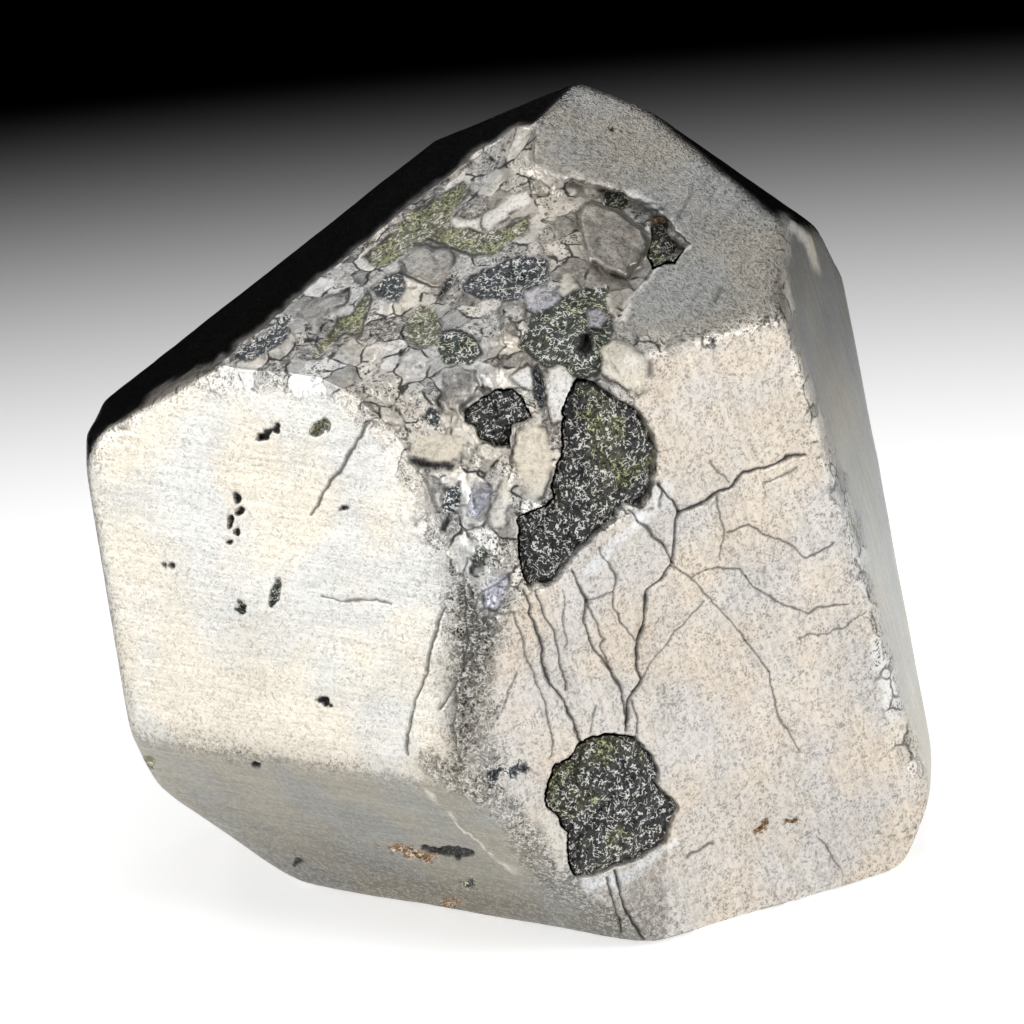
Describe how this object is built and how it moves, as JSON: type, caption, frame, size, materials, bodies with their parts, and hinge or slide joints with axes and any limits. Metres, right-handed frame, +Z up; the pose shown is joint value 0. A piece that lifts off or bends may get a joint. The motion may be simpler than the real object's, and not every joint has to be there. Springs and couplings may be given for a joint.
{
  "type": "cobaltite crystal specimen",
  "caption": "Stout pyritohedral crystal of metallic grey cobaltite with a worn, pitted front corner, dark mineral grains set in it and a flat broken underside that it stands on.",
  "frame": {"origin": "on the surface that the crystal rests on, under the middle of its bounding box", "axes": "+Z up, -Y towards the side that shows the two front crystal faces and the worn corner between them, +X to the right of that view and along the crystal's longest side"},
  "size_m": [0.027, 0.0236, 0.0254],
  "materials": {
    "cobaltite": "satin",
    "dark_mineral": "satin"
  },
  "bodies": {
    "root": {"cobaltite_crystal": "cobaltite", "lower_dark_grain": "dark_mineral", "central_dark_grain": "dark_mineral", "middle_dark_grain": "dark_mineral", "upper_dark_grain": "dark_mineral"}
  },
  "joints": []
}
